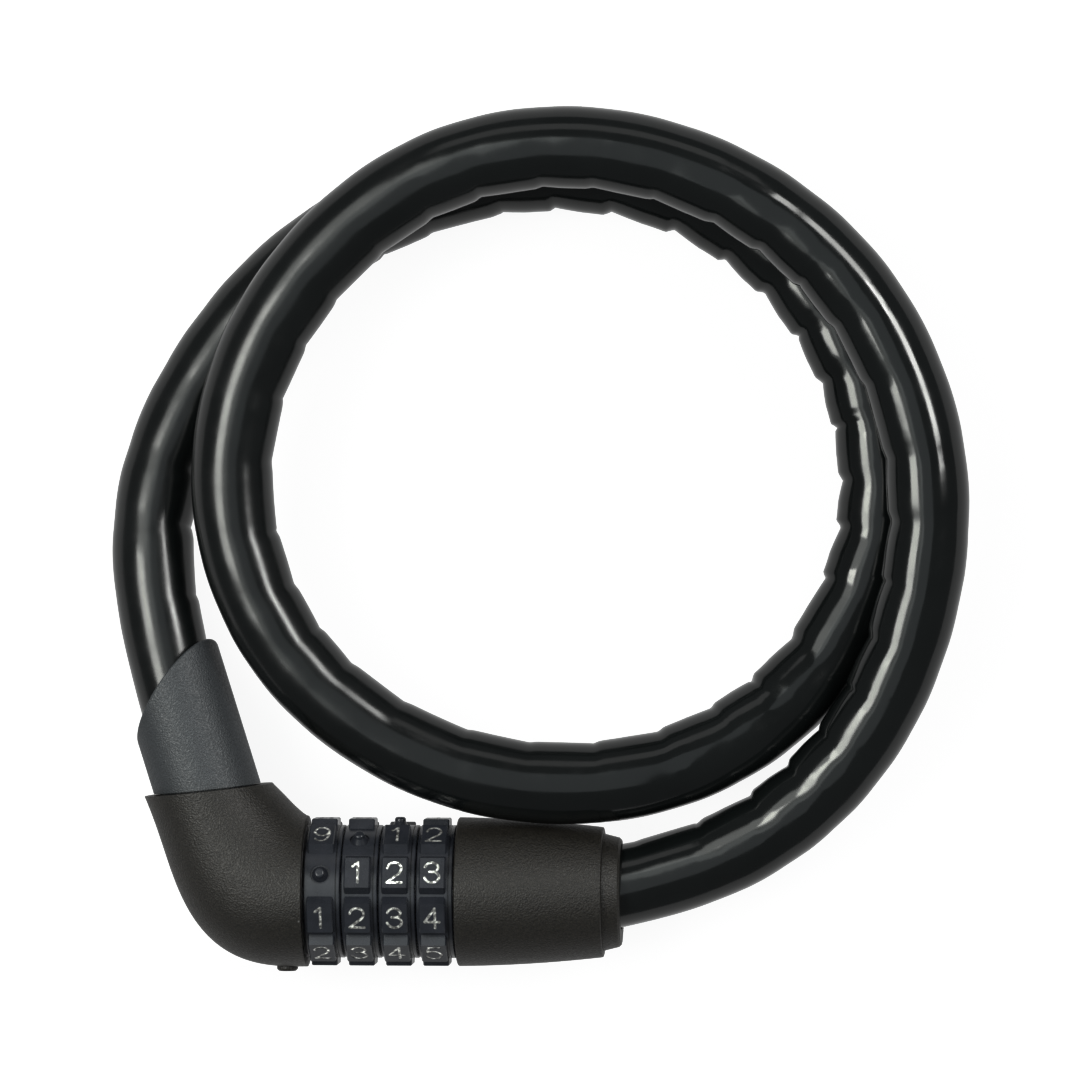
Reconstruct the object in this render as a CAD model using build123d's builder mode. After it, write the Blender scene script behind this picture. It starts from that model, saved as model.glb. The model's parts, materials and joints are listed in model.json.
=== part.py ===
from build123d import *
from math import cos, pi, radians, sin, tan
import os

os.makedirs("parts", exist_ok=True)

# An armoured cable lock with four number wheels, lying on a table. Every piece is drawn from the middle
# of the lock's axis: X runs along the axis, from the elbow to the barrel, Y points into the cable's loop
# and Z is up. save() then lifts the piece to where the axis lies above the table.
AXIS_X, AXIS_Y, AXIS_Z = 0.3, -19.0, 16.7
SEAT = 0.05  # gap between pieces that sit in each other
RUN = 0.1  # gap round a piece that turns or slides

# The cable and its route: X and Y from the lock's axis, and the height above the table
CABLE_R = 9.0
JACKET_WALL = 0.9
ROPE_R = 3.9
ROUTE = [
    (44.5, -0.2, 16.7),
    (68.0, 3.8, 16.7),
    (94.5, 19.3, 18.6),
    (112.6, 44.0, 22.0),
    (121.2, 75.5, 25.2),
    (118.8, 105.5, 27.0),
    (104.5, 134.0, 27.8),
    (79.0, 154.8, 27.8),
    (47.5, 164.4, 27.8),
    (15.5, 160.5, 27.8),
    (-11.0, 142.5, 27.7),
    (-29.0, 115.5, 27.0),
    (-33.6, 83.5, 25.2),
    (-21.5, 52.0, 24.0),
    (4.5, 31.0, 23.2),
    (35.0, 22.8, 22.6),
    (67.5, 26.8, 20.0),
    (94.5, 45.0, 13.0),
    (109.8, 74.0, 9.3),
    (109.2, 106.0, 9.1),
    (95.0, 134.2, 9.1),
    (71.0, 153.2, 9.1),
    (41.5, 160.5, 9.1),
    (10.5, 156.0, 9.1),
    (-19.0, 140.0, 9.1),
    (-39.6, 116.3, 9.1),
    (-51.2, 90.0, 11.4),
]
LAST_RUN = 29.0
ARC_SHARE = 0.45  # of the shorter run at a corner, taken up by the corner's arc

# The plug: its axis leans left of the loop's direction, and t is counted along it from the sleeve's foot
PLUG_LEAN = 17.4
PLUG_FOOT = Vector(-38.65, 23.05, 0)
SLEEVE_R = 11.6
SLEEVE_BORE_R = CABLE_R + SEAT
SLEEVE_MOUTH_R = CABLE_R + 0.45
SLEEVE_TOP_T = 21.8
SLEEVE_SLOPE_SIDE, SLEEVE_SLOPE_UP = 0.739, 0.39
SPIGOT_R, SPIGOT_DEPTH = 9.8, 2.4
PIN_R, PIN_GROOVE_R, PIN_HEAD_R = 5.0, 2.7, 7.5
PIN_TIP_T, PIN_GROOVE_T, PIN_HEAD_T = -31.5, (-28.3, -22.8), (2.4, 4.9)
JACKET_END_T = 11.0
ROPE_END_T = 7.2

# The elbow's sections, from the plug's mouth to the wheels: the points where each one meets the inside
# and the outside of the bend, and its half height
ELBOW_SECTIONS = [
    ((-24.1, 23.8), (-52.3, 20.8), 14.1),
    ((-22.6, 22.3), (-47.9, 8.8), 14.3),
    ((-20.6, 20.3), (-42.9, -3.6), 15.0),
    ((-18.8, 18.5), (-35.6, -12.2), 15.8),
    ((-17.3, 17.2), (-26.6, -16.0), 16.3),
    ((-16.2, 16.6), (-16.2, -16.6), 16.55),
]
ELBOW_WALL = 2.0
MOUTH_FLOOR = 3.0
ELBOW_FACE_X = -16.2
MARK_R, MARK_BACK, MARK_SEAT_R, MARK_HEIGHT = 0.22, 0.35, 16.1, 0.6

# The number wheels
WHEELS = 4
POSITIONS = 10
STEP = 360 / POSITIONS
PITCH = 8.2
FIRST_WHEEL_X = -11.7
INDEX_ANGLE = 108.0  # of the row that is read, from +Y towards +Z
DRUM_R, DRUM_HALF, WHEEL_BORE_R = 14.6, 3.95, 9.65
BLOCK_R, BLOCK_HALF_ANGLE, BLOCK_X, BLOCK_HALF = 16.45, 11.75, -0.4, 2.85
VALLEY_R = 14.3
FLAT_R = BLOCK_R * cos(radians(BLOCK_HALF_ANGLE))
WHEEL_EDGE = 0.25  # chamfer on the blocks' sides
RIM_EDGE, COLLAR_GAP, COLLAR_GROOVE = 0.2, 0.45, (0.3, 0.35)
KNOB_R, KNOB_FOOT_R, KNOB_TOP, KNOB_SUNK = 1.2, 1.8, 16.4, 0.3
KEY_WIDTH, KEY_SLOT_WIDTH = 1.2, 1.5
DIGIT_STROKE, DIGIT_POCKET, DIGIT_FILL = 0.62, 0.32, 0.22

# The tumblers, the slotted spindle and the latch bolt
TUMBLER_WEB_HALF, TUMBLER_RIM_HALF, TUMBLER_RIM_IN, TUMBLER_RIM_OUT = 1.1, 3.5, 8.6, 9.6
GATE_WIDTH, FIN_WIDTH, FIN_HALF, FIN_R = 2.2, 1.8, 0.8, 8.2
LATCH_TRAVEL = 4.5
SPINDLE_R, SPINDLE_BORE_R, SPINDLE_LOW_X, SPINDLE_HIGH_X = 6.3, 4.1, -22.0, 30.9
LATCH_R, NOSE_R, NOSE_X, LATCH_SHOULDER_X, LATCH_END_X = 4.0, 2.2, -23.1, -17.0, 18.0
STRIP_WIDTH, STRIP_LOW_Z, STRIP_THICK, BUMP_TOP = 3.0, 5.25, 0.5, 8.55
BUMP_R = 0.45

# The barrel
BARREL_LOW_X, BARREL_HIGH_X = 17.2, 49.2
BARREL_RADII = (16.35, 15.72, 14.25)
BARREL_WALL = 2.0
CORE_LOW_X, CORE_HIGH_X = 17.6, 44.4
CAP_FLANGE_X, CAP_END_X = 45.6, 53.1
CAP_FLANGE_R, CAP_LOW_R, CAP_END_R = 12.1, 12.85, 12.0
EXIT_R = CABLE_R + 0.35
FERRULE_LENGTH, FERRULE_BORE_DEPTH = 11.4, 7.4
ANCHOR_PIN_R, ANCHOR_PIN_BACK, ANCHOR_PIN_HALF = 1.5, 9.5, 12.4
NUT_X, NUT_FLAT_HALF, NUT_POCKET_R = (28.05, 30.6), 7.4, 8.9

# The code screw, under the elbow
CODE_SCREW_X, CODE_SCREW_R, CODE_SCREW_Y = -20.7, 2.3, (-17.6, -7.6)
CODE_SLOT_WIDTH, CODE_SLOT_DEPTH = 0.8, 0.8

# The armour shells threaded on the cable's rope
SHELL_PITCH, SHELL_HALF, SHELL_R, SHELL_BORE_R = 16.0, 6.8, 7.5, 5.3

# Pen strokes of the digits: two points make a straight stroke, and three make an arc through the middle one
DIGITS = {
    1: [((-0.96, 1.36), (0.21, 2.24)), ((0.21, 2.24), (0.21, -2.24))],
    2: [
        ((-1.55, 1.0), (-0.05, 2.24), (1.5, 1.12)),
        ((1.5, 1.12), (1.23, 0.12), (0.43, -0.59)),
        ((0.43, -0.59), (-1.6, -2.24)),
        ((-1.6, -2.24), (1.6, -2.24)),
    ],
    3: [
        ((-1.5, 1.24), (0.0, 2.24), (1.34, 1.3)),
        ((1.34, 1.3), (1.02, 0.47), (0.21, 0.18)),
        ((-0.54, 0.18), (0.21, 0.18)),
        ((0.21, 0.18), (1.28, -0.29), (1.6, -1.12)),
        ((1.6, -1.12), (0.0, -2.24), (-1.6, -1.06)),
    ],
    4: [((0.64, 2.24), (-1.6, -0.89)), ((-1.6, -0.89), (1.6, -0.89)), ((0.64, 2.24), (0.64, -2.24))],
    5: [
        ((1.39, 2.24), (-1.07, 2.24)),
        ((-1.07, 2.24), (-1.39, 0.18)),
        ((-1.39, 0.18), (0.21, 0.65), (1.6, -0.77)),
        ((1.6, -0.77), (0.0, -2.24), (-1.6, -1.24)),
    ],
    6: [
        ((1.39, 1.47), (0.11, 2.24), (-1.18, 1.36)),
        ((-1.18, 1.36), (-1.6, 0.12), (-1.6, -0.83)),
        ((-1.6, -0.83), (0.0, 0.47), (1.6, -0.83)),
        ((-1.6, -0.83), (0.0, -2.24), (1.6, -0.83)),
    ],
    7: [((-1.6, 2.24), (1.6, 2.24)), ((1.6, 2.24), (0.21, 0.35), (-0.43, -2.24))],
    8: [
        ((-1.28, 1.24), (0.0, 2.24), (1.28, 1.24)),
        ((-1.28, 1.24), (0.0, 0.24), (1.28, 1.24)),
        ((-1.6, -1.0), (0.0, 0.24), (1.6, -1.0)),
        ((-1.6, -1.0), (0.0, -2.24), (1.6, -1.0)),
    ],
}
DIGITS[9] = [tuple((-u, -v) for u, v in stroke) for stroke in DIGITS[6]]

WHEEL_CENTRES = [FIRST_WHEEL_X + PITCH * number for number in range(WHEELS)]
MIDDLE_LOW = (Align.CENTER, Align.CENTER, Align.MIN)
UP = Vector(0, 0, 1)
ALONG_PLUG = Vector(-sin(radians(PLUG_LEAN)), cos(radians(PLUG_LEAN)), 0)
BESIDE_PLUG = Vector(cos(radians(PLUG_LEAN)), sin(radians(PLUG_LEAN)), 0)


def save(part, name):
    """Lift a piece to the lock's place above the table and write it under its name."""
    placed = Pos(AXIS_X, AXIS_Y, AXIS_Z) * part
    placed.label = name
    export_step(placed, f"parts/{name}.step")


def turned(corners, plane=Plane.XZ):
    """A piece turned about the plane's first direction, from its profile's (distance, radius) corners."""
    with BuildPart(mode=Mode.PRIVATE) as piece:
        with BuildSketch(plane):
            with BuildLine():
                Polyline(*corners, close=True)
            make_face()
        revolve(axis=Axis(plane.origin, plane.x_dir))
    return piece.part


def ring(low, high, inner_r, outer_r, plane=Plane.XZ):
    """A plain ring or, with no inner radius, a disc about the plane's first direction."""
    return turned([(low, inner_r), (low, outer_r), (high, outer_r), (high, inner_r)], plane)


def bar(x, y, z):
    """A box between the low and high X, Y and Z."""
    size = (x[1] - x[0], y[1] - y[0], z[1] - z[0])
    middle = ((x[0] + x[1]) / 2, (y[0] + y[1]) / 2, (z[0] + z[1]) / 2)
    return Pos(*middle) * Box(*size, mode=Mode.PRIVATE)


def on_circle(radius, angle):
    return (radius * cos(radians(angle)), radius * sin(radians(angle)))


# --- Planes of the plug and of the cable's exit -------------------------------------------------------

PLUG = Plane(origin=PLUG_FOOT, x_dir=ALONG_PLUG, z_dir=BESIDE_PLUG)  # turned pieces of the plug
mouth_in, mouth_out = (Vector(*point) for point in ELBOW_SECTIONS[0][:2])
MOUTH = Plane(origin=(mouth_in + mouth_out) / 2, z_dir=(mouth_out - mouth_in).cross(UP))
SLEEVE_FOOT = MOUTH.offset(0.35)
SLEEVE_TOP = Plane(
    origin=PLUG_FOOT + ALONG_PLUG * SLEEVE_TOP_T,
    z_dir=ALONG_PLUG - BESIDE_PLUG * SLEEVE_SLOPE_SIDE - UP * SLEEVE_SLOPE_UP,
)

route = [Vector(x, y, height - AXIS_Z) for x, y, height in ROUTE]
jacket_end = PLUG_FOOT + ALONG_PLUG * JACKET_END_T
route += [jacket_end + ALONG_PLUG * LAST_RUN, jacket_end]
exit_direction = (route[1] - route[0]).normalized()
EXIT = Plane(origin=route[0], x_dir=exit_direction, z_dir=exit_direction.cross(UP))

# --- The elbow ------------------------------------------------------------------------------------------


def elbow_form(inset):
    """The elbow's outer shape, made smaller all round by the inset."""
    with BuildPart(mode=Mode.PRIVATE) as form:
        for inner, outer, half_height in ELBOW_SECTIONS:
            inside, outside = Vector(*inner), Vector(*outer)
            across = outside - inside
            section = Plane(origin=(inside + outside) / 2, x_dir=across, z_dir=across.cross(UP))
            with BuildSketch(section):
                Ellipse(across.length / 2 - inset, half_height - inset)
        loft()
    return form.part


code_screw_hole = Pos(CODE_SCREW_X, CODE_SCREW_Y[1] + 0.2, 0) * Rot(X=90) * Cylinder(
    CODE_SCREW_R + RUN, 20, align=MIDDLE_LOW
)
pin_bore = ring(PIN_TIP_T - 0.7, 10, 0, PIN_R + 0.08, PLUG)
mouth_hole = ring(-12, 12, 0, SPIGOT_R + 0.3, PLUG)

with BuildPart() as elbow_hollow:
    add(elbow_form(ELBOW_WALL))
    split(bisect_by=MOUTH.offset(-MOUTH_FLOOR), keep=Keep.BOTTOM)

# A small painted stud stands in the elbow's edge, beside the row that is read
mark_out = Vector(0, *on_circle(1, INDEX_ANGLE + 2))
mark_seat = Plane(origin=Vector(ELBOW_FACE_X - MARK_BACK, 0, 0) + mark_out * MARK_SEAT_R, z_dir=mark_out)
with BuildPart() as index_mark:
    with Locations(mark_seat):
        Cylinder(MARK_R, MARK_HEIGHT, align=MIDDLE_LOW)
save(index_mark.part, "index_mark")

with BuildPart() as elbow_cover:
    add(elbow_form(0))
    add(elbow_hollow.part, mode=Mode.SUBTRACT)
    add(mouth_hole, mode=Mode.SUBTRACT)
    add(code_screw_hole, mode=Mode.SUBTRACT)
    add(index_mark.part, mode=Mode.SUBTRACT)
save(elbow_cover.part, "elbow_cover")

with BuildPart() as elbow_core:
    add(elbow_form(ELBOW_WALL + SEAT))
    split(bisect_by=MOUTH.offset(-MOUTH_FLOOR - SEAT), keep=Keep.BOTTOM)
    add(pin_bore, mode=Mode.SUBTRACT)
    add(ring(-32, ELBOW_FACE_X + 1, 0, NOSE_R + RUN), mode=Mode.SUBTRACT)
    add(ring(SPINDLE_LOW_X - SEAT, ELBOW_FACE_X + 1, 0, SPINDLE_R + 0.02), mode=Mode.SUBTRACT)
    add(code_screw_hole, mode=Mode.SUBTRACT)
save(elbow_core.part, "elbow_core")


with BuildPart() as code_screw:
    low, high = CODE_SCREW_Y
    with Locations(Location((CODE_SCREW_X, high, 0), (90, 0, 0))):
        Cylinder(CODE_SCREW_R, high - low, align=MIDDLE_LOW)
    head = code_screw.faces().sort_by(Axis.Y)[0]
    fillet(head.edges(), 0.7)
    slot_x, slot_y = (CODE_SCREW_X - 3, CODE_SCREW_X + 3), (low - 1, low + CODE_SLOT_DEPTH)
    add(bar(slot_x, slot_y, (-CODE_SLOT_WIDTH / 2, CODE_SLOT_WIDTH / 2)), mode=Mode.SUBTRACT)
save(code_screw.part, "code_screw")

# --- The plug --------------------------------------------------------------------------------------------

with BuildPart() as spigot:
    add(ring(-8, 4, 0, SPIGOT_R, PLUG))
    split(bisect_by=MOUTH.offset(-SPIGOT_DEPTH), keep=Keep.TOP)

with BuildPart() as plug_sleeve:
    add(ring(-10, 40, 0, SLEEVE_R, PLUG))
    split(bisect_by=SLEEVE_FOOT, keep=Keep.TOP)
    split(bisect_by=SLEEVE_TOP, keep=Keep.BOTTOM)
    fillet(plug_sleeve.faces().sort_by(Axis((0, 0, 0), SLEEVE_TOP.z_dir))[-1].edges(), 0.5)
    add(spigot.part)
    add(ring(-10, 40, 0, PIN_R + SEAT, PLUG), mode=Mode.SUBTRACT)
    add(ring(PIN_HEAD_T[0], 40, 0, PIN_HEAD_R + SEAT, PLUG), mode=Mode.SUBTRACT)
    add(ring(PIN_HEAD_T[1] + 0.3, 40, 0, SLEEVE_BORE_R, PLUG), mode=Mode.SUBTRACT)
    add(ring(JACKET_END_T + 1, 40, 0, SLEEVE_MOUTH_R, PLUG), mode=Mode.SUBTRACT)
save(plug_sleeve.part, "plug_sleeve")

groove_low, groove_high = PIN_GROOVE_T
head_low, head_high = PIN_HEAD_T
pin_profile = [
    (PIN_TIP_T, 0),
    (PIN_TIP_T, PIN_R - 1.5),
    (PIN_TIP_T + 1.5, PIN_R),
    (groove_low, PIN_R),
    (groove_low, PIN_GROOVE_R),
    (groove_high, PIN_GROOVE_R),
    (groove_high, PIN_R),
    (head_low, PIN_R),
    (head_low, PIN_HEAD_R),
    (head_high, PIN_HEAD_R),
    (head_high, 0),
]
save(turned(pin_profile, PLUG), "plug_pin")
save(ring(head_high + 0.35, head_high + 1.2, 4.5, CABLE_R - SEAT, PLUG), "plug_retaining_ring")

with BuildPart() as plug_ferrule:
    add(ring(head_high + 1.25, JACKET_END_T, 0, CABLE_R - SEAT, PLUG))
    add(ring(ROPE_END_T - SEAT, JACKET_END_T, 0, ROPE_R + SEAT, PLUG), mode=Mode.SUBTRACT)
save(plug_ferrule.part, "plug_ferrule")

# A rubber ring under the spigot, between it and the elbow's core
with BuildPart() as plug_seal:
    add(ring(-10, 6, PIN_R + 0.3, SPIGOT_R - 0.8, PLUG))
    split(bisect_by=MOUTH.offset(-SPIGOT_DEPTH), keep=Keep.BOTTOM)
    split(bisect_by=MOUTH.offset(-SPIGOT_DEPTH - 0.5), keep=Keep.TOP)
save(plug_seal.part, "plug_seal")

# --- The number wheels, drawn about X at the middle of their own width -------------------------------


def digit_face(depth):
    """The plane of the digit 1, a depth below its block's flat: its second direction is the digit's top."""
    out = Vector(0, *on_circle(1, INDEX_ANGLE))
    return Plane(origin=Vector(BLOCK_X, 0, 0) + out * (FLAT_R - depth), x_dir=(1, 0, 0), z_dir=out)


def digit_sketch(digit):
    """One digit, drawn with a round pen, on the face of its own block."""
    with BuildSketch() as face:
        for stroke in DIGITS[digit]:
            with BuildLine():
                if len(stroke) == 2:
                    Line(*stroke)
                else:
                    ThreePointArc(*stroke)
            trace(line_width=DIGIT_STROKE)
            with Locations(stroke[0], stroke[-1]):
                Circle(DIGIT_STROKE / 2)
    return face.sketch


def digit_solid(digit, bottom, height):
    """A digit as a solid, from a depth below its block's flat, turned to that block."""
    with BuildPart(mode=Mode.PRIVATE) as solid:
        add(digit_face(bottom).from_local_coords(digit_sketch(digit)))
        extrude(amount=height)
    return Rot(X=STEP * (digit - 1)) * solid.part


with BuildPart() as wheel:
    with BuildSketch(Plane.YZ.offset(BLOCK_X - BLOCK_HALF)):
        with BuildLine():
            corners = []
            for digit in DIGITS:
                middle = INDEX_ANGLE + STEP * (digit - 1)
                corners.append(on_circle(VALLEY_R, middle - STEP / 2))
                corners.append(on_circle(BLOCK_R, middle - BLOCK_HALF_ANGLE))
                corners.append(on_circle(BLOCK_R, middle + BLOCK_HALF_ANGLE))
            corners.append(on_circle(VALLEY_R, INDEX_ANGLE - 1.5 * STEP))
            Polyline(*corners, close=True)
        make_face()
    extrude(amount=2 * BLOCK_HALF)
    chamfer(wheel.faces().filter_by(Axis.X).edges(), WHEEL_EDGE)
    collar = BLOCK_X + BLOCK_HALF + COLLAR_GAP
    groove_width, groove_depth = COLLAR_GROOVE
    add(
        turned(
            [
                (-DRUM_HALF, WHEEL_BORE_R),
                (-DRUM_HALF, DRUM_R - RIM_EDGE),
                (-DRUM_HALF + RIM_EDGE, DRUM_R),
                (collar, DRUM_R),
                (collar, DRUM_R - groove_depth),
                (collar + groove_width, DRUM_R - groove_depth),
                (collar + groove_width, DRUM_R),
                (DRUM_HALF - RIM_EDGE, DRUM_R),
                (DRUM_HALF, DRUM_R - RIM_EDGE),
                (DRUM_HALF, WHEEL_BORE_R),
            ]
        )
    )
    add(ring(-DRUM_HALF, DRUM_HALF, 0, WHEEL_BORE_R), mode=Mode.SUBTRACT)
    with BuildSketch(Plane.YZ.offset(-DRUM_HALF)):
        with PolarLocations(WHEEL_BORE_R, POSITIONS, start_angle=90):
            Rectangle(KEY_SLOT_WIDTH, 1.3)
    extrude(amount=2 * DRUM_HALF, mode=Mode.SUBTRACT)
    knob_out = Vector(0, *on_circle(1, INDEX_ANGLE - STEP))
    knob_foot = Plane(origin=Vector(BLOCK_X, 0, 0) + knob_out * (DRUM_R - KNOB_SUNK), z_dir=knob_out)
    with Locations(knob_foot):
        Cylinder(KNOB_FOOT_R + 0.35, 1, align=MIDDLE_LOW, mode=Mode.SUBTRACT)
        Cone(KNOB_FOOT_R, KNOB_R, 1.2, align=MIDDLE_LOW)
        Cylinder(KNOB_R, KNOB_TOP - DRUM_R + KNOB_SUNK, align=MIDDLE_LOW)
    fillet(wheel.faces().sort_by(Axis((0, 0, 0), knob_out))[-1].edges(), 0.6)
    for digit in DIGITS:
        add(digit_solid(digit, DIGIT_POCKET, DIGIT_POCKET + 0.5), mode=Mode.SUBTRACT)

with BuildPart() as digits:
    for digit in DIGITS:
        add(digit_solid(digit, DIGIT_POCKET, DIGIT_FILL))

gate_z = (-TUMBLER_RIM_IN - 0.02, -SPINDLE_R)
with BuildPart() as tumbler:
    add(ring(-TUMBLER_RIM_HALF, TUMBLER_RIM_HALF, TUMBLER_RIM_IN, TUMBLER_RIM_OUT))
    add(ring(-TUMBLER_WEB_HALF, TUMBLER_WEB_HALF, SPINDLE_R + 0.05, TUMBLER_RIM_IN))
    add(bar((-2, 2), (-KEY_WIDTH / 2, KEY_WIDTH / 2), (TUMBLER_RIM_OUT - 0.2, TUMBLER_RIM_OUT + 0.7)))
    gate_half = GATE_WIDTH / 2
    add(bar((-2, 2), (-gate_half, gate_half), gate_z), mode=Mode.SUBTRACT)
    with BuildSketch(Plane.YZ.offset(TUMBLER_WEB_HALF + 0.4)):
        with PolarLocations(TUMBLER_RIM_IN, POSITIONS, start_angle=90):
            Circle(0.5)
    extrude(amount=1.8, mode=Mode.SUBTRACT)

for number, centre in enumerate(WHEEL_CENTRES, start=1):
    shown = Pos(centre, 0, 0) * Rot(X=-STEP * (number - 1))
    save(shown * wheel.part, f"number_wheel_{number}")
    save(shown * digits.part, f"wheel_digits_{number}")
    save(Pos(centre, 0, 0) * tumbler.part, f"tumbler_ring_{number}")

# --- What the wheels turn on, and the latch inside -----------------------------------------------------

slot_x = (WHEEL_CENTRES[0] - 3.3, WHEEL_CENTRES[-1] + 3.3)
with BuildPart() as wheel_spindle:
    add(ring(SPINDLE_LOW_X, SPINDLE_HIGH_X, SPINDLE_BORE_R, SPINDLE_R))
    add(bar(slot_x, (-1, 1), (-7, -3)), mode=Mode.SUBTRACT)
    add(bar(slot_x, (-1.6, 1.6), (STRIP_LOW_Z - SEAT, 7)), mode=Mode.SUBTRACT)
save(wheel_spindle.part, "wheel_spindle")

with BuildPart() as spacer_washers:
    washer_r = (SPINDLE_R + SEAT, 9.5)
    add(ring(ELBOW_FACE_X + SEAT, WHEEL_CENTRES[0] - TUMBLER_RIM_HALF - RUN, *washer_r))
    for centre in WHEEL_CENTRES[:-1]:
        add(ring(centre + PITCH / 2 - 0.5, centre + PITCH / 2 + 0.5, *washer_r))
    add(ring(WHEEL_CENTRES[-1] + TUMBLER_RIM_HALF + RUN, CORE_LOW_X - SEAT, *washer_r))
save(spacer_washers.part, "spacer_washers")

with BuildPart() as detent_strip:
    half, top = STRIP_WIDTH / 2, STRIP_LOW_Z + STRIP_THICK
    add(bar((slot_x[0] + 0.2, slot_x[1] - 0.2), (-half, half), (STRIP_LOW_Z, top)))
    for centre in WHEEL_CENTRES:
        bump_x = (centre + 1.6, centre + 3.0)
        add(bar(bump_x, (-BUMP_R, BUMP_R), (top - 0.1, BUMP_TOP - BUMP_R)))
        add(Pos(0, 0, BUMP_TOP - BUMP_R) * ring(*bump_x, 0, BUMP_R))
save(detent_strip.part, "detent_strip")

fin_offset = LATCH_TRAVEL / 2
with BuildPart() as latch_bolt:
    add(
        turned(
            [
                (NOSE_X, 0),
                (NOSE_X, NOSE_R - 0.5),
                (NOSE_X + 0.5, NOSE_R),
                (LATCH_SHOULDER_X, NOSE_R),
                (LATCH_SHOULDER_X, LATCH_R),
                (LATCH_END_X, LATCH_R),
                (LATCH_END_X, 0),
            ]
        )
    )
    for centre in WHEEL_CENTRES:
        fin_x = (centre + fin_offset - FIN_HALF, centre + fin_offset + FIN_HALF)
        add(bar(fin_x, (-FIN_WIDTH / 2, FIN_WIDTH / 2), (-FIN_R, -2)))
save(latch_bolt.part, "latch_bolt")

SPRING_PITCH, SPRING_R, SPRING_WIRE_R = 1.6, 3.4, 0.35
spring_x = (LATCH_END_X + 0.45, LATCH_END_X + 8.0)
with BuildPart() as latch_spring:
    with BuildLine():
        coil = Helix(SPRING_PITCH, spring_x[1] - spring_x[0], SPRING_R, (spring_x[0], 0, 0), (1, 0, 0))
    with BuildSketch(Plane(origin=coil @ 0, z_dir=coil % 0)):
        Circle(SPRING_WIRE_R)
    sweep(path=coil, is_frenet=True)
save(latch_spring.part, "latch_spring")

with BuildPart() as spring_plug:
    add(ring(LATCH_END_X + 8.5, SPINDLE_HIGH_X - 0.2, 0, SPINDLE_BORE_R - 0.02))
    with BuildSketch(Plane.YZ.offset(SPINDLE_HIGH_X - 2.2)):
        RegularPolygon(2.0, 6)
    extrude(amount=3, mode=Mode.SUBTRACT)
save(spring_plug.part, "spring_plug")

with BuildPart() as spindle_nut:
    with BuildSketch(Plane.YZ.offset(NUT_X[0])):
        RegularPolygon(NUT_FLAT_HALF, 6, major_radius=False)
        Circle(SPINDLE_R + 0.02, mode=Mode.SUBTRACT)
    extrude(amount=NUT_X[1] - NUT_X[0])
save(spindle_nut.part, "spindle_nut")

# --- The barrel -------------------------------------------------------------------------------------------


def barrel_form(inset):
    """The barrel's slightly bulged outer shape, made smaller all round by the inset."""
    xs = (BARREL_LOW_X, (BARREL_LOW_X + BARREL_HIGH_X) / 2, BARREL_HIGH_X)
    edge = [(x, radius - inset) for x, radius in zip(xs, BARREL_RADII)]
    with BuildPart() as form:
        with BuildSketch(Plane.XZ):
            with BuildLine():
                ThreePointArc(*edge)
                Polyline(edge[0], (xs[0], 0), (xs[2], 0), edge[2])
            make_face()
        revolve(axis=Axis.X)
    return form.part


with BuildPart() as barrel_cover:
    add(barrel_form(0))
    rims = barrel_cover.edges().filter_by(GeomType.CIRCLE).sort_by(Axis.X)
    fillet([rims[0], rims[-1]], 0.45)
    add(barrel_form(BARREL_WALL), mode=Mode.SUBTRACT)
save(barrel_cover.part, "barrel_cover")

anchor_pin_hole = EXIT.from_local_coords(
    Pos(-ANCHOR_PIN_BACK, 0, 0) * Rot(X=90) * Cylinder(ANCHOR_PIN_R + 0.02, 2 * ANCHOR_PIN_HALF + 0.1)
)
with BuildPart() as barrel_core:
    add(barrel_form(BARREL_WALL + SEAT))
    add(bar((CORE_LOW_X, CORE_HIGH_X), (-20, 20), (-20, 20)), mode=Mode.INTERSECT)
    add(ring(CORE_LOW_X, 29, 0, SPINDLE_R + 0.02), mode=Mode.SUBTRACT)
    add(ring(NUT_X[0] - SEAT, SPINDLE_HIGH_X + 0.3, 0, NUT_POCKET_R), mode=Mode.SUBTRACT)
    add(ring(-FERRULE_LENGTH - 0.2, 5, 0, CABLE_R + SEAT, EXIT), mode=Mode.SUBTRACT)
    add(anchor_pin_hole, mode=Mode.SUBTRACT)
save(barrel_core.part, "barrel_core")

with BuildPart() as anchor_ferrule:
    add(ring(-FERRULE_LENGTH, -SEAT, 0, CABLE_R - SEAT, EXIT))
    add(ring(-FERRULE_BORE_DEPTH, 1, 0, ROPE_R + SEAT, EXIT), mode=Mode.SUBTRACT)
    add(anchor_pin_hole, mode=Mode.SUBTRACT)
save(anchor_ferrule.part, "anchor_ferrule")

anchor_pin = Pos(-ANCHOR_PIN_BACK, 0, 0) * Rot(X=90) * Cylinder(ANCHOR_PIN_R, 2 * ANCHOR_PIN_HALF)
save(EXIT.from_local_coords(anchor_pin), "anchor_pin")

with BuildPart() as barrel_end_cap:
    add(
        turned(
            [
                (CAP_FLANGE_X, 0),
                (CAP_FLANGE_X, CAP_FLANGE_R),
                (BARREL_HIGH_X + SEAT, CAP_FLANGE_R),
                (BARREL_HIGH_X + SEAT, CAP_LOW_R),
                (CAP_END_X - 0.5, CAP_END_R),
                (CAP_END_X, CAP_END_R - 0.5),
                (CAP_END_X, 0),
            ]
        )
    )
    add(ring(-5, 15, 0, EXIT_R, EXIT), mode=Mode.SUBTRACT)
save(barrel_end_cap.part, "barrel_end_cap")

# --- The cable --------------------------------------------------------------------------------------------


def corner_radii(points):
    """The largest arc that each corner's runs leave room for."""
    radii = []
    for before, corner, after in zip(points, points[1:], points[2:]):
        arriving, leaving = corner - before, after - corner
        turn = arriving.get_angle(leaving)
        radii.append(ARC_SHARE * min(arriving.length, leaving.length) / tan(radians(turn / 2)))
    return radii


def path_through(points):
    with BuildLine() as line:
        FilletPolyline(*points, radius=corner_radii(points))
    return line.wires()[0]


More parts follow.
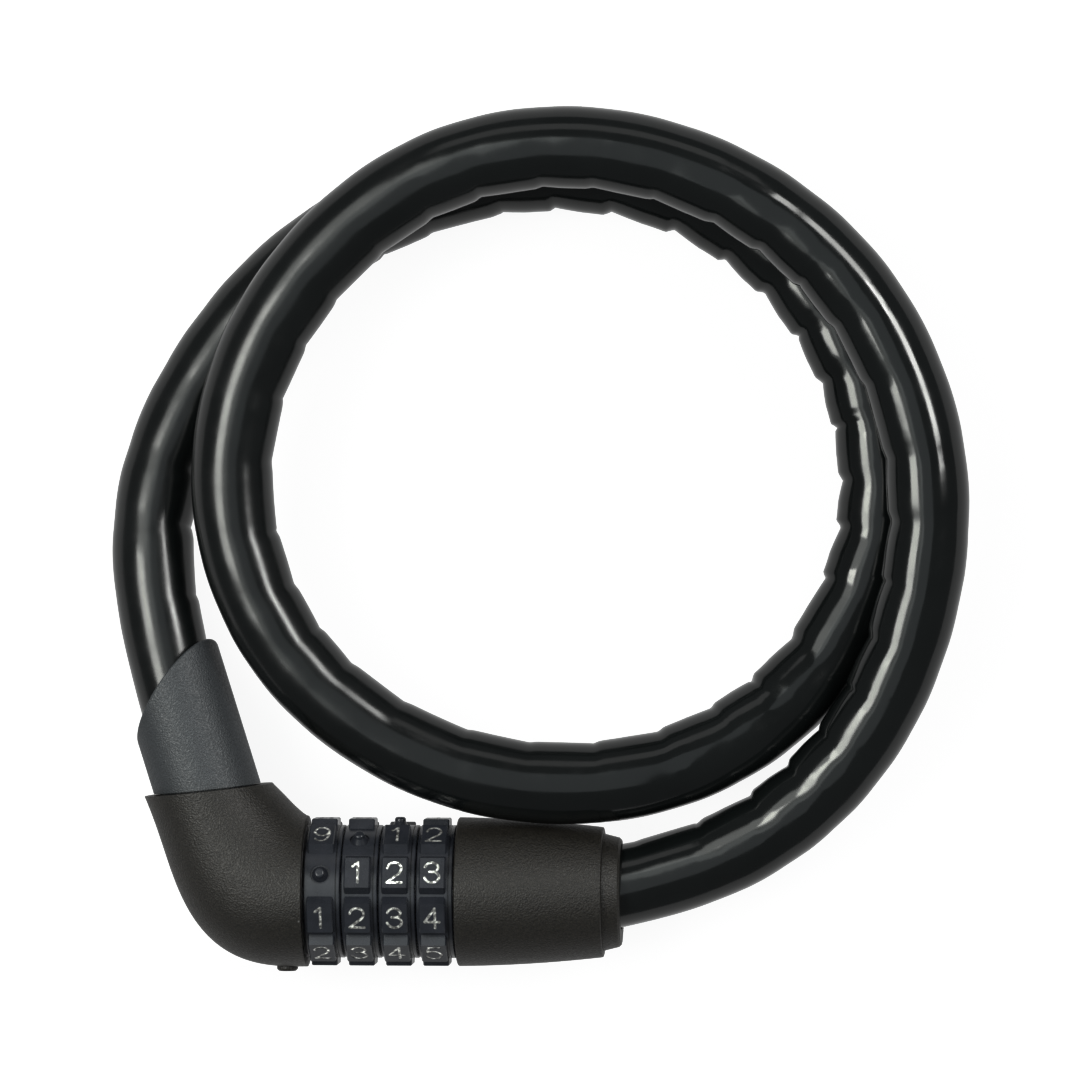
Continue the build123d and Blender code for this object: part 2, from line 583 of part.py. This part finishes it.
jacket_path = path_through(route)
with BuildPart() as cable_jacket:
    with BuildSketch(Plane(origin=jacket_path @ 0, z_dir=jacket_path % 0)):
        Circle(CABLE_R)
        Circle(CABLE_R - JACKET_WALL, mode=Mode.SUBTRACT)
    sweep(path=jacket_path)
save(cable_jacket.part, "cable_jacket")

rope_start = route[0] - exit_direction * (FERRULE_BORE_DEPTH - SEAT)
rope_path = path_through([rope_start] + route[1:-1] + [PLUG_FOOT + ALONG_PLUG * ROPE_END_T])
with BuildPart() as steel_rope:
    with BuildSketch(Plane(origin=rope_path @ 0, z_dir=rope_path % 0)):
        Circle(ROPE_R)
    sweep(path=rope_path)
save(steel_rope.part, "steel_rope")

armour_shell = turned(
    [
        (-SHELL_HALF, SHELL_R - 1.3),
        (-SHELL_HALF, SHELL_R - 0.2),
        (-SHELL_HALF + 0.5, SHELL_R),
        (SHELL_HALF / 3, SHELL_R),
        (SHELL_HALF, SHELL_R - 0.9),
        (SHELL_HALF, SHELL_BORE_R),
        (-SHELL_HALF / 3, SHELL_BORE_R),
    ],
    Plane(origin=(0, 0, 0), x_dir=(0, 0, 1), z_dir=(0, 1, 0)),
)
shell_count = int((jacket_path.length - 2 * SHELL_HALF - 1) // SHELL_PITCH) + 1
first_shell = (jacket_path.length - SHELL_PITCH * (shell_count - 1)) / 2
with BuildPart() as armour_shells:
    for number in range(shell_count):
        along = first_shell + SHELL_PITCH * number
        add(jacket_path.location_at(along, position_mode=PositionMode.LENGTH) * armour_shell)
save(armour_shells.part, "armour_shells")

print("cable length", round(jacket_path.length, 1), "shells", shell_count)
print("corner radii", [round(radius, 1) for radius in corner_radii(route)])
jacket_section = pi * (CABLE_R**2 - (CABLE_R - JACKET_WALL) ** 2)
print("jacket volume over section x length", cable_jacket.part.volume / jacket_section / jacket_path.length)
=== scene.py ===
import json
import math
import random

import bpy
from mathutils import Matrix, Vector

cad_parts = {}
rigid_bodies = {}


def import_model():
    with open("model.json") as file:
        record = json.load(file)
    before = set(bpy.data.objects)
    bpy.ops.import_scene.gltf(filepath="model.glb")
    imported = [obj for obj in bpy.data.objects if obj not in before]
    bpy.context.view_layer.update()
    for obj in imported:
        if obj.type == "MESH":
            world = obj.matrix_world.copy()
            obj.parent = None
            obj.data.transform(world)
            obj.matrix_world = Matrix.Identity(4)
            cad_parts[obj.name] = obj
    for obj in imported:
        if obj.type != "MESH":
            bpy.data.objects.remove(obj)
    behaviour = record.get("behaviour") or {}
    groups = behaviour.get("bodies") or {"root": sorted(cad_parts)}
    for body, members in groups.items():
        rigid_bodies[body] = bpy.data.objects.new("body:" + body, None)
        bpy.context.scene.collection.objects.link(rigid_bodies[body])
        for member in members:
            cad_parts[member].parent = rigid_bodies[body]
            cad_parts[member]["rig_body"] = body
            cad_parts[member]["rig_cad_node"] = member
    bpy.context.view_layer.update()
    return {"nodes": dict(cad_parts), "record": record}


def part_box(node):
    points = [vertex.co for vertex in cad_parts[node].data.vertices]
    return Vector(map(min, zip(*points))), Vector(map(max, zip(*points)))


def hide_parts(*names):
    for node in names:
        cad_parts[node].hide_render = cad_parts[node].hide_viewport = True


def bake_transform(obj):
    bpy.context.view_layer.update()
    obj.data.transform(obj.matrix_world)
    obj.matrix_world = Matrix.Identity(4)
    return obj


# An armoured cable lock with number wheels, lying on a pale table and seen from above. Lengths
# are in metres. The lock, wheels and plug are the frame's own nodes with new materials. The cable
# is rebuilt here: a jacket that shows the armour shells under it, the shells and a laid rope.
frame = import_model()
nodes = frame["nodes"]

# --- The lock's axis and the cable's measures --------------------------------

SPINDLE_FOOT_X = -0.022  # where the spindle begins, from the lock's origin
spindle_low, spindle_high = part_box("wheel_spindle")
AXIS = Vector((spindle_low.x - SPINDLE_FOOT_X, *((spindle_low + spindle_high) / 2).yz))

CABLE_R = 0.009
JACKET_BORE_R = 0.0069
ROPE_R = 0.0039
ROPE_START = 0.002  # along the cable
ROPE_LAY = 0.055  # one turn of a strand

# The cable's route: X and Y from the lock's axis, and the height above the table
ROUTE = [
    (0.0445, -0.0002, 0.0167),
    (0.0680, 0.0038, 0.0167),
    (0.0945, 0.0193, 0.0186),
    (0.1126, 0.0440, 0.0220),
    (0.1212, 0.0755, 0.0252),
    (0.1188, 0.1055, 0.0270),
    (0.1045, 0.1340, 0.0278),
    (0.0790, 0.1548, 0.0278),
    (0.0475, 0.1644, 0.0278),
    (0.0155, 0.1605, 0.0278),
    (-0.0110, 0.1425, 0.0277),
    (-0.0290, 0.1155, 0.0270),
    (-0.0336, 0.0835, 0.0252),
    (-0.0215, 0.0520, 0.0240),
    (0.0045, 0.0310, 0.0232),
    (0.0350, 0.0228, 0.0226),
    (0.0675, 0.0268, 0.0200),
    (0.0945, 0.0450, 0.0130),
    (0.1098, 0.0740, 0.0093),
    (0.1092, 0.1060, 0.0091),
    (0.0950, 0.1342, 0.0091),
    (0.0710, 0.1532, 0.0091),
    (0.0415, 0.1605, 0.0091),
    (0.0105, 0.1560, 0.0091),
    (-0.0190, 0.1400, 0.0091),
    (-0.0396, 0.1163, 0.0091),
    (-0.0512, 0.0900, 0.0114),
]
PLUG_LEAN = math.radians(17.4)
ALONG_PLUG = Vector((-math.sin(PLUG_LEAN), math.cos(PLUG_LEAN), 0))
PLUG_FOOT = AXIS + Vector((-0.03865, 0.02305, 0))
JACKET_END, LAST_RUN = 0.011, 0.029
ROPE_END = 0.0072

route = [Vector((AXIS.x + x, AXIS.y + y, height)) for x, y, height in ROUTE]
jacket_end = PLUG_FOOT + ALONG_PLUG * JACKET_END
route += [jacket_end + ALONG_PLUG * LAST_RUN, jacket_end]


def smooth_line(points, steps=46):
    """The line of the NURBS spline that has these control points."""
    curve = bpy.data.curves.new("route", "CURVE")
    curve.dimensions = "3D"
    curve.resolution_u = steps
    spline = curve.splines.new("NURBS")
    spline.points.add(len(points) - 1)
    for target, point in zip(spline.points, points):
        target.co = (*point, 1)
    spline.order_u = 3
    spline.use_endpoint_u = True
    holder = bpy.data.objects.new("route", curve)
    mesh = bpy.data.meshes.new_from_object(holder)
    line = [vertex.co.copy() for vertex in mesh.vertices]
    bpy.data.objects.remove(holder)
    bpy.data.curves.remove(curve)
    bpy.data.meshes.remove(mesh)
    return line


class Line:
    """A line's points with their distance along it, direction, side and bend."""

    def __init__(self, points):
        self.points = points
        self.along = [0.0]
        for before, after in zip(points, points[1:]):
            self.along.append(self.along[-1] + (after - before).length)
        last = len(points) - 1
        self.direction = [
            (points[min(i + 1, last)] - points[max(i - 1, 0)]).normalized()
            for i in range(last + 1)
        ]
        # The inside of every bend is on the left, because both turns run anticlockwise from above
        self.inside = [Vector((0, 0, 1)).cross(d).normalized() for d in self.direction]
        self.up = [d.cross(left).normalized() for d, left in zip(self.direction, self.inside)]
        self.bend = [self._bend_at(i) for i in range(last + 1)]

    def _bend_at(self, i, reach=25):
        """One over the bend's radius, taken over about two shells of the line."""
        low, high = max(i - reach, 0), min(i + reach, len(self.points) - 1)
        turn = self.direction[low].angle(self.direction[high])
        return turn / (self.along[high] - self.along[low])

    def out(self, i, angle):
        """The direction square to the line at that angle, from the inside of the bend upwards."""
        return math.cos(angle) * self.inside[i] + math.sin(angle) * self.up[i]

    @property
    def length(self):
        return self.along[-1]


cable_line = Line(smooth_line(route))

# --- Meshes ------------------------------------------------------------------


def new_object(name, vertices, faces, material):
    """A smooth-shaded mesh object in the scene."""
    mesh = bpy.data.meshes.new(name)
    mesh.from_pydata(vertices, [], faces)
    mesh.update()
    for polygon in mesh.polygons:
        polygon.use_smooth = True
    made = bpy.data.objects.new(name, mesh)
    bpy.context.scene.collection.objects.link(made)
    made.data.materials.append(material)
    return made


def tube_faces(rings, around, first=0, inward=False):
    """The faces between rings of points that follow each other."""
    faces = []
    for ring in range(rings - 1):
        for corner in range(around):
            a = first + ring * around + corner
            b = first + ring * around + (corner + 1) % around
            face = (a, b, b + around, a + around)
            faces.append(face[::-1] if inward else face)
    return faces


def end_faces(first, around, outer_to_inner):
    """A flat ring between the circles of points at first and at first + outer_to_inner."""
    faces = []
    for corner in range(around):
        after = (corner + 1) % around
        a, b = first + corner, first + after
        faces.append((a, b, b + outer_to_inner, a + outer_to_inner))
    return faces


# The jacket is drawn tight over stiff shells. On the inside of a bend each shell is a straight
# chord that starts at a lip and falls away to a notch, and on the outside it is a faint flat.
SHELL_PITCH = 0.016
PITCH_RANGE = (0.74, 1.1)  # of the pitch
STRENGTH_RANGE = (0.4, 1.5)  # of the lip's strength
CHORD_HEIGHT, LIP_HEIGHT, LIP_PLACE = 0.0006, 0.0008, 0.15
WEAKEST_CHORD = 0.45  # of the chord's height, where the lip has no strength
INNER_SPREAD = 1.8
SHARP_SPREAD = 3
SOFT_REACH = 0.0026  # away from the inside the lips are drawn out over this distance
FLAT_SHARE = 0.3  # of the inside relief, on the outside of a bend
TYPICAL_BEND_R = 0.068
MOST_BENT = 1.2  # times the typical bend
RELIEF_LIMIT = 0.0014  # the shells lie this far under the surface
EVEN_END = 0.02  # near its ends the cable is straight and even
# How strongly the lips stand out: distance along the cable, and the strength there
LIP_STRENGTH = [
    (0, 0.8),
    (0.06, 1.0),
    (0.20, 0.7),
    (0.30, 0.35),
    (0.45, 0.25),
    (0.51, 0.5),
    (0.55, 1.25),
    (0.64, 1.2),
    (0.70, 0.8),
    (0.78, 1.0),
    (0.87, 0.6),
]


def between(stops, value):
    """The value's height on a line of straight runs through the stops."""
    for (low, low_height), (high, high_height) in zip(stops, stops[1:]):
        if value <= high:
            share = max(value - low, 0) / (high - low)
            return low_height + share * (high_height - low_height)
    return stops[-1][1]


def shell_places(length, seed=7):
    """For each armour shell: where it begins, its length and how strongly its lip stands out."""
    draw = random.Random(seed)
    shells, start = [], 0.0
    while start < length:
        pitch = SHELL_PITCH * draw.uniform(*PITCH_RANGE)
        strength = between(LIP_STRENGTH, start) * draw.uniform(*STRENGTH_RANGE)
        shells.append((start, pitch, strength))
        start += pitch
    return shells


def jacket_reliefs(line):
    """How far the jacket's inside lies under its full radius at each point: sharp and drawn out."""
    shells, number = shell_places(line.length), 0
    sharp = []
    for distance, bend in zip(line.along, line.bend):
        while number + 1 < len(shells) and distance > shells[number + 1][0]:
            number += 1
        start, pitch, strength = shells[number]
        phase = min(max((distance - start) / pitch, 0), 1)
        rise = min(phase / LIP_PLACE, 1)
        chord = CHORD_HEIGHT * (WEAKEST_CHORD + (1 - WEAKEST_CHORD) * min(strength, 1))
        lip = LIP_HEIGHT * strength
        height = 4 * chord * phase * (1 - phase)
        height += lip * (1 - phase) * rise * rise * (3 - 2 * rise)
        ends = min(1.0, distance / EVEN_END, (line.length - distance) / EVEN_END)
        bent = min(bend * TYPICAL_BEND_R, MOST_BENT)
        sharp.append(ends * bent * max(chord + lip / 2 - height, 0))
    reach = round(SOFT_REACH / (line.length / len(sharp)))
    soft = []
    for i in range(len(sharp)):
        near = sharp[max(i - reach, 0) : i + reach + 1]
        soft.append(sum(near) / len(near))
    return sharp, soft


def jacket_mesh(line, material):
    """The jacket's outside, its plain bore, and a flat ring at each end."""
    around, bore_step = 56, 6
    sharp, soft = jacket_reliefs(line)
    vertices = []
    for i, point in enumerate(line.points):
        for corner in range(around):
            angle = 2 * math.pi * corner / around
            inner = ((1 + math.cos(angle)) / 2) ** INNER_SPREAD
            outer = ((1 - math.cos(angle)) / 2) ** 2
            relief = inner * (soft[i] + inner**SHARP_SPREAD * (sharp[i] - soft[i]))
            relief += outer * FLAT_SHARE * soft[i]
            radius = CABLE_R - min(relief, RELIEF_LIMIT)
            vertices.append(point + radius * line.out(i, angle))
    rings = len(line.points)
    bore_rings = [*range(0, rings - 1, bore_step), rings - 1]
    for i in bore_rings:
        for corner in range(around):
            angle = 2 * math.pi * corner / around
            vertices.append(line.points[i] + JACKET_BORE_R * line.out(i, angle))
    bore, last = rings * around, (rings - 1) * around
    faces = tube_faces(rings, around) + tube_faces(len(bore_rings), around, bore, inward=True)
    last_bore = bore + (len(bore_rings) - 1) * around
    faces += [face[::-1] for face in end_faces(0, around, bore)]
    faces += end_faces(last, around, last_bore - last)
    return new_object("cable_jacket_pvc", vertices, faces, material)


def rope_mesh(line, material):
    """Seven laid strands: one straight and six wound round it."""
    around, strand_r = 8, ROPE_R / 3
    first = next(i for i, distance in enumerate(line.along) if distance > ROPE_START)
    last = len(line.points) - 1
    vertices, faces = [], []
    for strand in range(7):
        start = len(vertices)
        away = 0 if strand == 0 else 2 * strand_r
        for i in range(first, last + 1, 2):
            wound = 2 * math.pi * (line.along[i] / ROPE_LAY + strand / 6)
            centre = line.points[i] + away * line.out(i, wound)
            for corner in range(around):
                angle = 2 * math.pi * corner / around
                vertices.append(centre + strand_r * line.out(i, angle))
        rings = (len(vertices) - start) // around
        faces += tube_faces(rings, around, start)
        faces.append(tuple(reversed(range(start, start + around))))
        end = start + (rings - 1) * around
        faces.append(tuple(range(end, end + around)))
    return new_object("steel_rope_strands", vertices, faces, material)


# --- Materials ---------------------------------------------------------------


class Finish:
    """A material with a Principled shader, and the few node groups that these finishes share."""

    def __init__(self, name, roughness=0.5, metallic=0.0, specular=0.5):
        self.material = bpy.data.materials.new(name)
        self.material.use_nodes = True
        self.tree = self.material.node_tree
        self.shader = self.tree.nodes["Principled BSDF"]
        self.shader.inputs["Roughness"].default_value = roughness
        self.shader.inputs["Metallic"].default_value = metallic
        self.shader.inputs["Specular IOR Level"].default_value = specular
        self.place = self.tree.nodes.new("ShaderNodeTexCoord").outputs["Object"]
        self.height = None

    def link(self, output, target):
        self.tree.links.new(output, target)

    def noise(self, scale, detail=2.0, roughness=0.5):
        node = self.tree.nodes.new("ShaderNodeTexNoise")
        node.inputs["Scale"].default_value = scale
        node.inputs["Detail"].default_value = detail
        node.inputs["Roughness"].default_value = roughness
        self.link(self.place, node.inputs["Vector"])
        return node.outputs["Fac"]

    def cells(self, scale):
        node = self.tree.nodes.new("ShaderNodeTexVoronoi")
        node.inputs["Scale"].default_value = scale
        self.link(self.place, node.inputs["Vector"])
        return node.outputs["Distance"]

    def ramp(self, source, stops):
        node = self.tree.nodes.new("ShaderNodeValToRGB")
        ends = node.color_ramp.elements
        while len(ends) < len(stops):
            ends.new(0.5)
        for element, (position, colour) in zip(ends, stops):
            element.position = position
            element.color = (*colour, 1)
        self.link(source, node.inputs["Fac"])
        return node.outputs["Color"]

    def spread(self, source, low, high, source_low=0.3, source_high=0.7):
        """The source taken from its own range, which is a noise's unless given, to low and high."""
        node = self.tree.nodes.new("ShaderNodeMapRange")
        node.inputs["From Min"].default_value = source_low
        node.inputs["From Max"].default_value = source_high
        node.inputs["To Min"].default_value = low
        node.inputs["To Max"].default_value = high
        self.link(source, node.inputs["Value"])
        return node.outputs["Result"]

    def colours(self, source, *stops):
        target = self.shader.inputs["Base Color"]
        target.default_value = (*stops[-1][1], 1)  # for a viewer that reads no nodes
        self.link(self.ramp(source, stops), target)
        return self

    def uneven(self, source, low, high):
        self.link(self.spread(source, low, high), self.shader.inputs["Roughness"])
        return self

    def hazier_towards_low_x(self, clear_x, hazy_x, haze):
        """Adds to the roughness, from nothing at one X to the whole haze at the other."""
        split = self.tree.nodes.new("ShaderNodeSeparateXYZ")
        self.link(self.place, split.inputs["Vector"])
        total = self.tree.nodes.new("ShaderNodeMath")
        target = self.shader.inputs["Roughness"]
        self.link(target.links[0].from_socket, total.inputs[0])
        self.link(self.spread(split.outputs["X"], 0, haze, clear_x, hazy_x), total.inputs[1])
        self.link(total.outputs["Value"], target)
        return self

    def bump(self, source, depth, strength=1.0):
        """Adds a relief of that depth in metres, on top of any that is there."""
        node = self.tree.nodes.new("ShaderNodeBump")
        node.inputs["Strength"].default_value = strength
        node.inputs["Distance"].default_value = depth
        self.link(source, node.inputs["Height"])
        if self.height:
            self.link(self.height, node.inputs["Normal"])
        self.height = node.outputs["Normal"]
        self.link(self.height, self.shader.inputs["Normal"])
        return self


def cover_finish():
    """Spark-eroded black plastic: a fine hard grain with a warm cast."""
    finish = Finish("cover_black", specular=0.5)
    finish.colours(
        finish.noise(2700, 2, 0.7),
        (0.35, (0.0042, 0.0037, 0.0029)),
        (0.65, (0.0215, 0.0190, 0.0148)),
    )
    finish.uneven(finish.noise(2300, 2), 0.40, 0.58)
    finish.bump(finish.cells(2400), 0.00014, 0.6)
    finish.bump(finish.noise(5200, 2), 0.00008, 0.5)
    return finish.material


def sleeve_finish():
    """Slate grey plastic with the same fine grain."""
    finish = Finish("sleeve_grey", specular=0.9)
    finish.colours(
        finish.noise(2400, 3, 0.7),
        (0.35, (0.008, 0.011, 0.014)),
        (0.65, (0.026, 0.032, 0.037)),
    )
    finish.uneven(finish.noise(2100, 2), 0.46, 0.68)
    finish.bump(finish.cells(2700), 0.00011, 0.6)
    finish.bump(finish.noise(4600, 2), 0.00004, 0.5)
    return finish.material


def wheel_finish():
    """Smooth satin blue-black plastic."""
    finish = Finish("wheel_black", specular=0.5)
    finish.colours(
        finish.noise(350, 3),
        (0.3, (0.018, 0.0205, 0.026)),
        (0.7, (0.024, 0.0265, 0.034)),
    )
    finish.uneven(finish.noise(240, 3), 0.22, 0.34)
    finish.bump(finish.noise(2500, 2), 0.00003, 0.25)
    return finish.material


def jacket_finish():
    """Glossy soft PVC, a little uneven, and hazier towards low X."""
    finish = Finish("cable_black", specular=0.5)
    finish.colours(
        finish.noise(45, 3),
        (0.3, (0.0042, 0.0052, 0.0052)),
        (0.7, (0.0062, 0.0076, 0.0076)),
    )
    finish.uneven(finish.noise(160, 4), 0.09, 0.17)
    finish.hazier_towards_low_x(0.06, -0.03, 0.09)
    finish.bump(finish.noise(130, 2), 0.0002, 0.25)
    finish.bump(finish.noise(1500, 2), 0.00001, 0.1)
    return finish.material


def paint_finish():
    """Silver paint wiped into the digits, thin in places."""
    finish = Finish("digit_silver", roughness=0.3, metallic=0.65)
    finish.colours(
        finish.noise(1300, 3),
        (0.36, (0.12, 0.12, 0.12)),
        (0.50, (0.42, 0.42, 0.40)),
        (0.62, (0.88, 0.88, 0.85)),
    )
    finish.bump(finish.noise(1500, 2), 0.00010, 0.7)
    return finish.material


def metal_finish(name, dark, light, roughness, scale=300):
    """Bare metal, mottled and unevenly dull."""
    finish = Finish(name, metallic=1.0)
    finish.colours(finish.noise(scale, 4), (0.3, dark), (0.7, light))
    finish.uneven(finish.noise(scale * 2, 3), roughness - 0.06, roughness + 0.08)
    finish.bump(finish.noise(scale * 5, 3), 0.00003, 0.3)
    return finish.material


def plain_finish(name, dark, light, roughness):
    """A small piece's finish: mottled, with a faint grain."""
    finish = Finish(name, roughness)
    finish.colours(finish.noise(400, 3), (0.3, dark), (0.7, light))
    finish.bump(finish.noise(2000, 2), 0.00003, 0.3)
    return finish.material


MATERIALS = {
    "cover_black": cover_finish(),
    "sleeve_grey": sleeve_finish(),
    "wheel_black": wheel_finish(),
    "cable_black": jacket_finish(),
    "digit_silver": paint_finish(),
    "zinc": metal_finish("zinc", (0.42, 0.42, 0.43), (0.56, 0.56, 0.57), 0.5),
    "hard_steel": metal_finish("hard_steel", (0.38, 0.38, 0.39), (0.52, 0.52, 0.53), 0.3),
    "brass": metal_finish("brass", (0.58, 0.41, 0.17), (0.74, 0.55, 0.26), 0.3),
    "rope_steel": metal_finish("rope_steel", (0.34, 0.34, 0.34), (0.5, 0.5, 0.5), 0.4),
    "seal_rubber": plain_finish("seal_rubber", (0.015, 0.015, 0.015), (0.028, 0.028, 0.028), 0.7),
    "mark_white": plain_finish("mark_white", (0.05, 0.05, 0.05), (0.16, 0.16, 0.15), 0.5),
}

for subpart in frame["record"]["subparts"]:
    node = nodes[subpart["node"]]
    node.data.materials.clear()
    node.data.materials.append(MATERIALS[subpart["material_slot"]])

# --- The cable ---------------------------------------------------------------


def bends_with_plug(piece, node):
    """The piece stands for the node, which is hidden, and its transform is applied to its mesh."""
    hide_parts(node)
    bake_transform(piece)


jacket = jacket_mesh(cable_line, MATERIALS["cable_black"])
bends_with_plug(jacket, "cable_jacket")

rope_route = route[:-1] + [PLUG_FOOT + ALONG_PLUG * ROPE_END]
rope = rope_mesh(Line(smooth_line(rope_route)), MATERIALS["rope_steel"])
bends_with_plug(rope, "steel_rope")

shells = nodes["armour_shells"].copy()
shells.data = nodes["armour_shells"].data.copy()
shells.name = "armour_shell_row"
shells.parent = None
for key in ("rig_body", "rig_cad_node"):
    del shells[key]
bpy.context.scene.collection.objects.link(shells)
bends_with_plug(shells, "armour_shells")

# --- Table, light and camera -------------------------------------------------

MIDDLE = AXIS + Vector((0.0351, 0.0774, 0))  # of the picture
CAMERA_AT = AXIS + Vector((0.115, 0.0774, 1.24))
CAMERA_LENS = 188.3


def look(location, target, up=Vector((0, 1, 0))):
    """The matrix of something at location that looks along -Z at target, its Y nearest to up."""
    back = (location - target).normalized()
    right = up.cross(back).normalized()
    matrix = Matrix((right, back.cross(right), back)).transposed().to_4x4()
    matrix.translation = location
    return matrix


def table():
    """A pale table top that glows faintly by itself."""
    half = 2.5
    corners = [(-half, -half, 0), (half, -half, 0), (half, half, 0), (-half, half, 0)]
    finish = Finish("table_white", roughness=0.6, specular=0.1)
    finish.colours(finish.noise(8, 2), (0.3, (0.115, 0.115, 0.115)), (0.7, (0.125, 0.125, 0.125)))
    finish.shader.inputs["Emission Color"].default_value = (1, 1, 1, 1)
    finish.shader.inputs["Emission Strength"].default_value = 0.42
    new_object("table_top", corners, [(0, 1, 2, 3)], finish.material)


def softbox(name, azimuth, elevation, distance, size, radiance, colour):
    """A rectangular light that faces the lock: azimuth from +X towards +Y, size across and up."""
    data = bpy.data.lights.new(name, "AREA")
    data.shape = "RECTANGLE"
    data.size, data.size_y = size
    data.energy = radiance * math.pi * size[0] * size[1]
    data.color = colour
    azimuth, elevation = math.radians(azimuth), math.radians(elevation)
    flat = math.cos(elevation)
    away = Vector((flat * math.cos(azimuth), flat * math.sin(azimuth), math.sin(elevation)))
    lamp = bpy.data.objects.new(name, data)
    lamp.matrix_world = look(MIDDLE + away * distance, MIDDLE, Vector((0, 0, 1)))
    bpy.context.scene.collection.objects.link(lamp)


def world(colour, strength):
    """Even light from all round."""
    made = bpy.data.worlds.new("studio")
    made.use_nodes = True
    background = made.node_tree.nodes["Background"]
    background.inputs["Color"].default_value = (*colour, 1)
    background.inputs["Strength"].default_value = strength
    bpy.context.scene.world = made


table()
world((0.95, 0.97, 1.0), 0.13)
softbox("key_right", 19, 44, 1.7, (0.72, 0.45), 9, (1.0, 1.0, 0.98))
softbox("key_upper_right", 47, 44, 1.7, (0.5, 0.45), 7, (1.0, 1.0, 0.98))
softbox("fill_left", 178, 56, 1.6, (0.8, 0.6), 6, (1.0, 1.0, 0.96))
softbox("fill_upper_left", 145, 56, 1.6, (0.8, 0.65), 1.2, (1.0, 1.0, 0.96))
softbox("fill_left_glow", 165, 63, 1.7, (1.6, 1.1), 1.1, (0.95, 1.0, 0.97))
softbox("back_low", 90, 32, 1.7, (1.4, 0.5), 0.6, (1.0, 1.0, 0.98))
softbox("overhead", 90, 89, 1.6, (0.9, 1.5), 0.5, (0.9, 0.98, 1.0))

camera = bpy.data.objects.new("camera", bpy.data.cameras.new("camera"))
camera.data.lens = CAMERA_LENS
camera.data.sensor_width = 36
camera.data.clip_start, camera.data.clip_end = 0.05, 20
camera.matrix_world = look(CAMERA_AT, MIDDLE)
bpy.context.scene.collection.objects.link(camera)
bpy.context.scene.camera = camera

# The light parts are drawn up to white, so that the pale table is white behind a black object
view = bpy.context.scene.view_settings
view.view_transform = "Standard"
view.use_curve_mapping = True
tone = view.curve_mapping.curves[3]
for dark, light in ((0.1, 0.1), (0.25, 0.33), (0.5, 1.0)):
    tone.points.new(dark, light)
view.curve_mapping.update()
